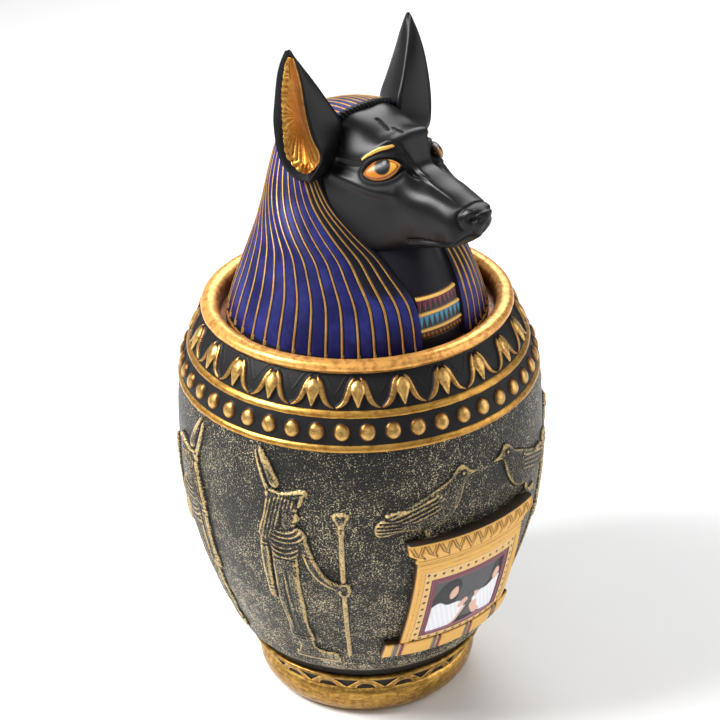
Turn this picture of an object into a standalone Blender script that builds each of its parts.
"""Canopic jar, a cold-cast resin copy with a jackal-head lid.

Two pieces: the hollow jar and the lid that rests on the ledge inside its rim.
Lengths are millimetres in the names below and become metres in the meshes.
The shrine faces -Y. Angles are degrees from that front, growing towards +X.
"""

import math

import bmesh
import bpy

MM = 0.001

# Overall sizes
JAR_HEIGHT = 153.0
LID_TOP = 246.4
BODY_RADIUS = 64.4
WALL = 4.6
FLOOR_THICKNESS = 6.5
JAR_SEGMENTS = 38

# Rim, ledge and mouth
RIM_RADIUS = 53.9
RECESS_RADIUS = 47.6
LEDGE_Z = 146.5
MOUTH_RADIUS = 42.0
LEDGE_THICKNESS = 3.6

# Fit of the lid
SEAT_GAP = 0.3
PLUG_CLEARANCE = 0.9
PLUG_LENGTH = 7.0
FLANGE_RADIUS = 45.2
FLANGE_THICKNESS = 1.8
LID_TURN = 5.4

# Bands
LOTUS_COUNT = 24
LOTUS_PHASE = -6.1
LOTUS_Z = (139.4, 148.4)
LOTUS_RADIUS = 56.0
BUD_RAISE = 2.2
LEAF_RAISE = 1.2
BEAD_COUNT = 46
BEAD_PHASE = -2.1
BEAD_Z = 132.0
BEAD_HALF_WIDTH = 2.7
BEAD_HALF_HEIGHT = 2.85
BEAD_RAISE = 1.5

# Relief on the wall
SINK = 1.2
FIGURE_Z = 33.0
FIGURE_HEIGHT = 90.0
FIGURE_RADIUS = 63.0
FIGURE_ANGLES = (-60.1, -99.5, 60.1, 99.5)
FIGURE_FACING = (1, -1, -1, 1)
BIRD_Z = 89.6
BIRD_HEIGHT = 25.0
BIRD_RADIUS = 65.0
BIRD_ANGLES = (-16.9, 24.9)
SHRINE_HALF = 22.6
CORNICE_HALF = 26.7
SHRINE_BASE_HALF = 27.2
SHRINE_Z = (37.0, 43.6, 82.6, 91.0)
PICTURE_HALF = 16.6
PICTURE_Z = (46.6, 72.6)

# Headdress
FLUTES_PER_SIDE = 22
FLUTE_DEPTH = 0.55
NECK_RECESS = 1.5

# Outer profile of the foot and the body wall, radius and height
FOOT = (
    (34.8, 0.0),
    (38.4, 3.2),
    (40.2, 8.8),
    (39.4, 12.8),
    (41.7, 18.6),
    (43.3, 19.4),
    (42.4, 21.2),
    (44.4, 25.0),
)
BODY = (
    (46.9, 26.8),
    (51.0, 38.0),
    (56.6, 53.0),
    (61.2, 68.5),
    (64.0, 85.0),
    (BODY_RADIUS, 101.0),
    (63.0, 124.8),
)
SHOULDER = (
    (63.9, 126.4),
    (62.1, 128.2),
    (59.6, 135.6),
    (60.3, 137.2),
    (57.9, 138.9),
    (55.7, 143.7),
    (52.3, 148.7),
)
RIM = (
    (RIM_RADIUS, 149.8),
    (RIM_RADIUS - 0.6, 151.8),
    (RIM_RADIUS - 2.6, JAR_HEIGHT),
    (RECESS_RADIUS, 151.6),
)


def interpolate(table, x):
    """Value at x of a polyline given as (value, x) pairs, x growing."""
    for (v0, x0), (v1, x1) in zip(table, table[1:]):
        if x <= x1:
            t = max(0.0, (x - x0) / (x1 - x0))
            return v0 + (v1 - v0) * t
    return table[-1][0]


def wall_radius(z):
    """Outer radius of the jar at height z."""
    return interpolate(FOOT + BODY + SHOULDER, z)


def material(name, colour, roughness, metallic):
    """A plain Principled material."""
    mat = bpy.data.materials.new(name)
    mat.use_nodes = True
    shader = mat.node_tree.nodes["Principled BSDF"]
    shader.inputs["Base Color"].default_value = (*colour, 1.0)
    shader.inputs["Roughness"].default_value = roughness
    shader.inputs["Metallic"].default_value = metallic
    return mat


class Solid:
    """Collects closed bodies, in millimetres, for one mesh."""

    def __init__(self):
        self.verts = []
        self.faces = []

    def add(self, verts, faces):
        start = len(self.verts)
        self.verts.extend(verts)
        self.faces.extend([tuple(start + i for i in face) for face in faces])

    def loft(self, rings, first=None, last=None):
        """Closed body through rings of equal length; an end is a point or a flat face."""
        count = len(rings[0])
        verts = [p for ring in rings for p in ring]
        faces = []
        for k in range(len(rings) - 1):
            for i in range(count):
                j = (i + 1) % count
                faces.append((k * count + i, k * count + j, (k + 1) * count + j, (k + 1) * count + i))
        top = (len(rings) - 1) * count
        if first is None:
            faces.append(tuple(reversed(range(count))))
        else:
            verts.append(first)
            pole = len(verts) - 1
            faces.extend([(pole, (i + 1) % count, i) for i in range(count)])
        if last is None:
            faces.append(tuple(range(top, top + count)))
        else:
            verts.append(last)
            pole = len(verts) - 1
            faces.extend([(pole, top + i, top + (i + 1) % count) for i in range(count)])
        self.add(verts, faces)

    def patch(self, grid, back):
        """Closed body between a front grid and a back grid of the same size."""
        rows = len(grid)
        cols = len(grid[0])
        front = [p for row in grid for p in row]
        behind = [p for row in back for p in row]
        size = rows * cols
        faces = []
        for r in range(rows - 1):
            for c in range(cols - 1):
                a = r * cols + c
                b = a + 1
                d = a + cols
                e = d + 1
                faces.append((a, b, e, d))
                faces.append((size + a, size + d, size + e, size + b))
        edge = [c for c in range(cols)]
        edge += [r * cols + cols - 1 for r in range(1, rows)]
        edge += [(rows - 1) * cols + c for c in range(cols - 2, -1, -1)]
        edge += [r * cols for r in range(rows - 2, 0, -1)]
        for k, a in enumerate(edge):
            b = edge[(k + 1) % len(edge)]
            faces.append((a, size + a, size + b, b))
        self.add(front + behind, faces)

    def build(self, name, mat, turn=0.0):
        """Makes the object, turned about Z inside its mesh."""
        c = math.cos(math.radians(turn))
        s = math.sin(math.radians(turn))
        points = [((x * c - y * s) * MM, (x * s + y * c) * MM, z * MM) for x, y, z in self.verts]
        mesh = bpy.data.meshes.new(name)
        mesh.from_pydata(points, [], self.faces)
        mesh.validate()
        bm = bmesh.new()
        bm.from_mesh(mesh)
        bmesh.ops.recalc_face_normals(bm, faces=bm.faces)
        bm.to_mesh(mesh)
        bm.free()
        mesh.materials.append(mat)
        obj = bpy.data.objects.new(name, mesh)
        bpy.context.scene.collection.objects.link(obj)
        return obj


def polar(angle, radius, z):
    """Point at an angle from the front."""
    a = math.radians(angle)
    return (radius * math.sin(a), -radius * math.cos(a), z)


def turned(profile, segments, phase=0.0):
    """Body of revolution from the axis below, round the profile, to the axis above."""
    body = Solid()
    rings = []
    for radius, z in profile[1:-1]:
        rings.append([polar(phase + 360.0 * i / segments, radius, z) for i in range(segments)])
    body.loft(rings, (0.0, 0.0, profile[0][1]), (0.0, 0.0, profile[-1][1]))
    return body


def jar_profile():
    """The whole section of the jar: outside, rim, ledge, mouth and inside wall."""
    inside = [(radius - WALL, z) for radius, z in reversed(BODY[1:-1:2])]
    return (
        [(0.0, 0.0)]
        + list(FOOT + BODY + SHOULDER + RIM)
        + [
            (RECESS_RADIUS, LEDGE_Z),
            (MOUTH_RADIUS, LEDGE_Z),
            (MOUTH_RADIUS, LEDGE_Z - LEDGE_THICKNESS),
            (SHOULDER[1][0] - WALL, SHOULDER[1][1]),
        ]
        + inside
        + [
            (FOOT[-1][0] - WALL, FOOT[-1][1]),
            (FOOT[2][0] - WALL - 2.0, FLOOR_THICKNESS),
            (0.0, FLOOR_THICKNESS),
        ]
    )


def on_wall(angle, z, raise_by):
    """Point on the wall at an angle and height, raised from it."""
    return polar(angle, wall_radius(z) + raise_by, z)


def strip(body, one_side, other_side, raise_by, place):
    """Raised band between two edges, wrapped on the wall by the function place."""
    one = [place(u, v) for u, v in one_side]
    other = [place(u, v) for u, v in other_side]
    front = [[on_wall(a, z, raise_by) for a, z in one], [on_wall(a, z, raise_by) for a, z in other]]
    behind = [[on_wall(a, z, -SINK) for a, z in one], [on_wall(a, z, -SINK) for a, z in other]]
    body.patch(front, behind)


def beads(body):
    """Row of oval beads between the two gold lines."""
    for k in range(BEAD_COUNT):
        centre = BEAD_PHASE + 360.0 * k / BEAD_COUNT
        rings = []
        for share, height in ((1.1, -SINK), (0.62, BEAD_RAISE)):
            ring = []
            for i in range(6):
                t = math.radians(60.0 * i + 30.0)
                across = BEAD_HALF_WIDTH * share * math.cos(t)
                z = BEAD_Z + BEAD_HALF_HEIGHT * share * math.sin(t)
                angle = centre + math.degrees(across / wall_radius(BEAD_Z))
                ring.append(on_wall(angle, z, height))
            rings.append(ring)
        body.loft(rings)


def lotus_band(body):
    """Hanging buds, each between two curved leaves, drawn in shares of the height of the band."""
    low, high = LOTUS_Z
    tall = high - low

    def place(centre, u, v, height):
        return on_wall(centre + math.degrees(u * tall / LOTUS_RADIUS), low + v * tall, height)

    bud = ((0.0, 0.92), (-0.27, 0.67), (-0.16, 0.27), (0.0, 0.02), (0.16, 0.27), (0.27, 0.67))
    outer = ((0.17, 0.93), (0.61, 0.56), (0.79, 0.0))
    crest = ((0.22, 0.84), (0.48, 0.47), (0.72, 0.06))
    inner = ((0.2, 0.76), (0.35, 0.4), (0.59, 0.02))
    for k in range(LOTUS_COUNT):
        centre = LOTUS_PHASE + 360.0 * k / LOTUS_COUNT
        rim = [place(centre, u, v, -SINK) for u, v in bud]
        body.loft([rim], None, place(centre, 0.0, 0.58, BUD_RAISE))
        for side in (1, -1):
            rings = []
            for line in zip(outer, crest, inner):
                heights = (-SINK, LEAF_RAISE, -SINK)
                rings.append([place(centre, side * u, v, h) for (u, v), h in zip(line, heights)])
            body.loft(rings)


def figure(body, centre, facing):
    """Standing crowned figure with one arm hanging and one hand on a papyrus staff.

    Drawn in hundredths of its height from its own axis and from the ground line it stands on.
    """
    share = FIGURE_HEIGHT / 100.0

    def place(u, v):
        return (centre + facing * math.degrees(u * share / FIGURE_RADIUS), FIGURE_Z + v * share)

    back = ((-4.3, 1.6), (-3.6, 10), (-5.6, 33.3), (-4.4, 53.9))
    front = ((10, 1.8), (4.9, 10), (5.2, 33.3), (4.6, 53.9))
    strip(body, back, front, 1.9, place)
    back = ((-4.4, 53.6), (-8.2, 68), (-5.4, 78.9), (-3.3, 82.8))
    front = ((4.6, 53.6), (8.4, 68), (7.3, 78.3), (5.6, 82.8))
    strip(body, back, front, 2.2, place)
    back = ((-8.2, 67.8), (-9.8, 53.3), (-9.8, 33.8))
    front = ((-4.9, 66.7), (-6, 53.3), (-6.1, 33.8))
    strip(body, back, front, 1.7, place)
    strip(
        body,
        ((8.2, 67.8), (11.8, 56.2), (17.3, 47.3), (23.3, 44.9)),
        ((5.6, 62.2), (8.4, 53.3), (14.9, 43.8), (22.7, 40.2)),
        1.8,
        place,
    )
    back = ((21, 4.4), (21, 37.8), (21, 69.4), (19.1, 76.9))
    front = ((22.8, 4.4), (22.8, 37.8), (22.8, 69.4), (24.7, 76.9))
    strip(body, back, front, 1.3, place)
    strip(body, ((-5.6, -0.9), (16.7, -0.7)), ((-4.9, 2.2), (16.9, 2.4)), 1.6, place)
    strip(body, ((-3.6, 82), (-5, 84.9)), ((6, 82), (10.7, 87.1)), 1.6, place)
    back = ((-4.4, 84), (-7.6, 90), (-9.9, 97))
    front = ((1.1, 85.1), (-1.3, 91.6), (-6.2, 99.8))
    strip(body, back, front, 1.4, place)


def bird(body, centre, facing):
    """Standing bird seen from the side, on the cornice, drawn in hundredths of its height."""
    share = BIRD_HEIGHT / 100.0

    def place(u, v):
        return (centre + facing * math.degrees(u * share / BIRD_RADIUS), BIRD_Z + v * share)

    upper = ((-68, 36), (-53.6, 47.6), (20, 78.8), (48, 100.8), (61.6, 98.4), (76.8, 87.6))
    lower = ((-66.4, 19.6), (-42, 20.8), (25.6, 24), (52.8, 62.4), (62.4, 83.2), (75.2, 84.4))
    strip(body, upper, lower, 2.0, place)
    strip(body, ((-3.2, -4), (-3.2, 24)), ((6.4, -4), (6.4, 24)), 1.4, place)
    strip(body, ((-26.4, -6.4), (24, -6.4)), ((-26.4, 2.4), (24, 2.4)), 1.8, place)


def shrine(body):
    """Shrine front: base bar, frame with a sunk picture field, and a flared cornice."""

    def grid(columns, rows, raise_at):
        front = []
        behind = []
        for v in rows:
            line = []
            line_behind = []
            for u in columns:
                radius = wall_radius(v)
                reach = radius + raise_at(u, v)
                angle = math.degrees(math.asin(u / reach))
                line.append(polar(angle, reach, v))
                line_behind.append(polar(angle, radius - SINK, v))
            front.append(line)
            behind.append(line_behind)
        body.patch(front, behind)

    low, sill, head, top = SHRINE_Z
    ends = [SHRINE_BASE_HALF * k / 3.0 for k in range(-3, 4)]
    grid(ends, (low, sill + 0.4), lambda u, v: 3.6)

    def frame(u, v):
        sunk = abs(u) < PICTURE_HALF and PICTURE_Z[0] < v < PICTURE_Z[1]
        return 1.9 if sunk else 3.1

    slope = 0.6
    wide = [-SHRINE_HALF, -PICTURE_HALF, slope - PICTURE_HALF, 0.0]
    wide += [PICTURE_HALF - slope, PICTURE_HALF, SHRINE_HALF]
    tall = [sill, PICTURE_Z[0], PICTURE_Z[0] + slope, 59.0, PICTURE_Z[1] - slope, PICTURE_Z[1], head + 0.4]
    grid(wide, tall, frame)

    def cornice(u, v):
        return 3.6 + 1.4 * (v - head) / (top - head)

    ends = [CORNICE_HALF * k / 3.0 for k in range(-3, 4)]
    grid(ends, (head, top), cornice)


def cut_in(target, tool, operation):
    """Exact boolean of a hidden tool on the target."""
    modifier = target.modifiers.new(tool.name, "BOOLEAN")
    modifier.operation = operation
    modifier.solver = "EXACT"
    modifier.use_self = True
    modifier.object = tool
    tool.hide_render = True
    tool.display_type = "WIRE"


def build_jar():
    """The jar with all its relief, one casting."""
    finish = material("jar_resin", (0.06, 0.055, 0.045), 0.5, 0.35)
    jar = turned(jar_profile(), JAR_SEGMENTS).build("jar", finish)
    relief = Solid()
    beads(relief)
    lotus_band(relief)
    for centre, facing in zip(FIGURE_ANGLES, FIGURE_FACING):
        figure(relief, centre, facing)
    bird(relief, BIRD_ANGLES[0], 1)
    bird(relief, BIRD_ANGLES[1], -1)
    shrine(relief)
    cut_in(jar, relief.build("jar_relief", finish), "UNION")


# Front edge of the headdress by height: its angle
EDGE_ANGLE = (
    (12.4, 148.0),
    (12.6, 160.0),
    (13.6, 166.0),
    (17.0, 171.0),
    (24.5, 179.0),
    (40.0, 185.0),
    (63.0, 194.0),
    (76.0, 203.0),
    (84.0, 209.0),
)
# Radius of that edge by height
EDGE_RADIUS = (
    (44.6, 148.0),
    (43.4, 158.0),
    (41.2, 166.0),
    (37.4, 171.0),
    (29.4, 179.0),
    (24.0, 185.0),
    (21.4, 194.0),
    (20.8, 203.0),
    (20.0, 209.0),
)
# Radius of the neck at the front by height
NECK_RADIUS = (
    (44.4, 148.0),
    (43.0, 153.0),
    (40.5, 166.0),
    (38.2, 171.0),
    (34.5, 179.0),
    (30.0, 185.0),
    (22.0, 194.0),
    (18.0, 209.0),
)
# Radius of the cloth at the sides and back by height
BELL_RADIUS = (
    (44.5, 148.0),
    (43.6, 153.0),
    (41.2, 160.0),
    (38.4, 167.0),
    (35.6, 174.0),
    (33.0, 181.0),
    (30.4, 190.0),
    (28.2, 199.0),
    (25.2, 209.0),
)
RING_HEIGHTS = (157.0, 166.0, 174.0, 181.0, 190.0, 199.0, 208.6)
# Rings of the crown, radius and height, and its middle
CROWN_RINGS = (
    (24.6, 207.0),
    (21.8, 212.5),
    (16.4, 217.4),
    (8.6, 220.4),
)
CROWN_TOP = 221.6


def headdress(body):
    """Fluted headdress and the neck between its front edges, one closed body of rings."""
    heights = (FLANGE_Z_TOP - 0.6,) + RING_HEIGHTS
    rings = []
    for z in heights:
        edge = interpolate(EDGE_ANGLE, z)
        edge_radius = interpolate(EDGE_RADIUS, z)
        neck = interpolate(NECK_RADIUS, z)
        bell = interpolate(BELL_RADIUS, z)
        half = []
        for share in (0.0, 0.5, 0.99):
            side = edge_radius - NECK_RECESS
            half.append((edge * share, neck + (side - neck) * share * share))
        for k in range(2 * FLUTES_PER_SIDE + 1):
            angle = edge + (180.0 - edge) * k / (2.0 * FLUTES_PER_SIDE)
            t = min(1.0, (angle - edge) / 50.0)
            smooth = t * t * (3.0 - 2.0 * t)
            radius = edge_radius + (bell - edge_radius) * smooth
            if k % 2:
                radius -= FLUTE_DEPTH
            half.append((angle, radius))
        ring = [polar(a, r, z) for a, r in half]
        ring += [polar(-a, r, z) for a, r in reversed(half[1:-1])]
        rings.append(ring)
    body.loft(rings)


def dome(body):
    """Crown of the headdress behind the forehead band."""
    rings = []
    for radius, z in CROWN_RINGS:
        rings.append([polar(18.0 * i + 9.0, radius, z) for i in range(20)])
    body.loft(rings, None, (0.0, -1.6, CROWN_TOP))


# Head lines from the crown to the nose; each point is forward, half-width and height
HEAD_LINES = (
    # top of the head and bridge of the nose
    (
        (-4, 0, 219), (8, 0, 221.8), (18, 0, 220.3), (24, 0, 219.3),
        (29.6, 0, 218.3), (33.2, 0, 212), (38, 0, 209.2), (44, 0, 207.3),
        (50, 0, 205.8), (56, 0, 204.2), (60, 0, 203.2), (62.4, 0, 202.2),
    ),
    # edge of the flat forehead and of the bridge
    (
        (-4, 8.5, 218.4), (8, 9.5, 220.6), (18, 9.3, 218.6), (24, 8.4, 218),
        (29.4, 7.7, 217.5), (33.2, 4.7, 211.5), (38, 3.9, 208.6), (44, 3.8, 206.8),
        (50, 3.6, 205.2), (56, 3.4, 203.6), (60, 3.4, 202.8), (62.4, 2.6, 201.9),
    ),
    # brow, and the groove beside the bridge
    (
        (-4, 16.5, 214), (8, 16, 212.4), (18, 14.6, 212.2), (24, 11.6, 214.6),
        (28.8, 8.6, 216.2), (33.2, 6.9, 210.9), (38, 5.2, 207.8), (44, 5, 206),
        (50, 4.8, 204.4), (56, 4.7, 203), (60.4, 4.7, 202.5), (62.8, 3.9, 201.6),
    ),
    # eye line and side of the muzzle
    (
        (-4, 17.5, 207), (8, 16.8, 207), (18, 14.8, 207.6), (24, 12.8, 209),
        (29, 11.2, 209.8), (33, 9.6, 209.6), (38, 8.4, 206.4), (44, 7.9, 204.4),
        (50, 7.1, 202.9), (56, 6.3, 201.4), (60.6, 5.3, 200.9), (63.2, 4.5, 200.4),
    ),
    # cheekbone and upper lip
    (
        (-4, 19.5, 200), (8, 18.8, 201.2), (18, 17.2, 201.6), (24, 15.4, 201.8),
        (29, 13.6, 201.8), (33, 12.3, 201.2), (38, 11.2, 200.2), (44, 10.1, 199),
        (50, 9.1, 197.9), (56, 7.8, 197.4), (60.4, 6, 197.6), (62.8, 4.3, 197.9),
    ),
    # cheek and lip line
    (
        (-4, 19, 188), (8, 18.6, 188.4), (18, 16.8, 188), (24, 14.8, 187.6),
        (29, 12.9, 187.6), (33, 11.5, 187.8), (38, 10.2, 188), (44, 9.2, 188.9),
        (50, 8.2, 190.2), (56, 6.9, 191.9), (59.6, 5.4, 193.2), (61.4, 3.6, 194.8),
    ),
    # edge of the jaw
    (
        (-4, 13.5, 176), (8, 13.6, 176.4), (18, 13, 177.8), (24, 11.8, 179.2),
        (29, 9.8, 180.8), (33, 8.3, 182.4), (38, 7.2, 184), (44, 6.3, 185.6),
        (50, 5.3, 187.4), (54, 4.4, 188.9), (57.2, 3.2, 190.4), (59.4, 2.2, 192),
    ),
    # middle of the throat and of the chin
    (
        (-4, 0, 173), (8, 0, 173.5), (18, 0, 175.2), (24, 0, 177.2),
        (29, 0, 179), (33, 0, 180.8), (38, 0, 182.6), (44, 0, 184.6),
        (48.6, 0, 186.3), (53, 0, 188), (56.4, 0, 189.4), (59, 0, 191.4),
    ),
)
NOSE_TIP = (63.8, 0.0, 199.6)


def head(body):
    """Jackal head, closed rings from inside the headdress to the nose."""
    rings = []
    for k in range(len(HEAD_LINES[0])):
        half = [(line[k][1], -line[k][0], line[k][2]) for line in HEAD_LINES]
        ring = half + [(-x, y, z) for x, y, z in reversed(half[1:-1])]
        rings.append(ring)
    body.loft(rings, None, (NOSE_TIP[1], -NOSE_TIP[0], NOSE_TIP[2]))


# Ear sections from the root to the tip: height, then medial ridge, front edge, hollow, back rim and back
EAR_SECTIONS = (
    (202.6, (16.4, 5.6), (24.2, 6.6), (24.6, 4.6), (25.4, 1.0), (16.4, -0.5)),
    (206.0, (14.6, 7.6), (24.2, 9.6), (24.6, 3.4), (27.9, -2.4), (15.6, -5.0)),
    (212.4, (12.6, 9.2), (24.8, 13.2), (22.4, 1.8), (28.8, -4.8), (17.4, -8.6)),
    (219.0, (11.8, 8.8), (24.8, 9.3), (21.8, 0.8), (28.9, -5.4), (19.6, -9.0)),
    (226.0, (15.0, 7.6), (25.5, 7.8), (22.4, 0.6), (28.8, -5.2), (21.0, -8.0)),
    (234.0, (19.2, 5.2), (25.6, 6.3), (23.6, 0.6), (28.4, -4.4), (22.6, -6.0)),
    (241.0, (23.0, 2.6), (25.8, 3.8), (24.8, 0.5), (27.2, -2.6), (24.0, -3.0)),
)
EAR_TIP = (25.7, 0.5)


def ears(body):
    """Upright ears with a flat front face and a hollow that opens sideways."""
    for side in (1, -1):
        rings = []
        for section in EAR_SECTIONS:
            ring = [(side * w, -d, section[0]) for w, d in section[1:]]
            if side < 0:
                ring.reverse()
            rings.append(ring)
        body.loft(rings, None, (side * EAR_TIP[0], -EAR_TIP[1], LID_TOP))


FLANGE_Z = LEDGE_Z + SEAT_GAP
FLANGE_Z_TOP = FLANGE_Z + FLANGE_THICKNESS


def build_lid():
    """The lid: plug, flange, headdress, neck, head and ears, one casting."""
    finish = material("lid_resin", (0.03, 0.03, 0.035), 0.35, 0.0)
    plug_radius = MOUTH_RADIUS - PLUG_CLEARANCE
    seat = (
        (0.0, FLANGE_Z - PLUG_LENGTH),
        (plug_radius - 1.0, FLANGE_Z - PLUG_LENGTH),
        (plug_radius, FLANGE_Z - PLUG_LENGTH + 1.0),
        (plug_radius, FLANGE_Z),
        (FLANGE_RADIUS, FLANGE_Z),
        (FLANGE_RADIUS, FLANGE_Z_TOP),
        (0.0, FLANGE_Z_TOP),
    )
    lid = turned(seat, 36, 3.0).build("lid", finish, LID_TURN)
    parts = (("lid_headdress", headdress), ("lid_crown", dome), ("lid_head", head), ("lid_ears", ears))
    for name, make in parts:
        tool = Solid()
        make(tool)
        cut_in(lid, tool.build(name, finish, LID_TURN), "UNION")


def main():
    for obj in list(bpy.data.objects):
        bpy.data.objects.remove(obj)
    build_jar()
    build_lid()


main()
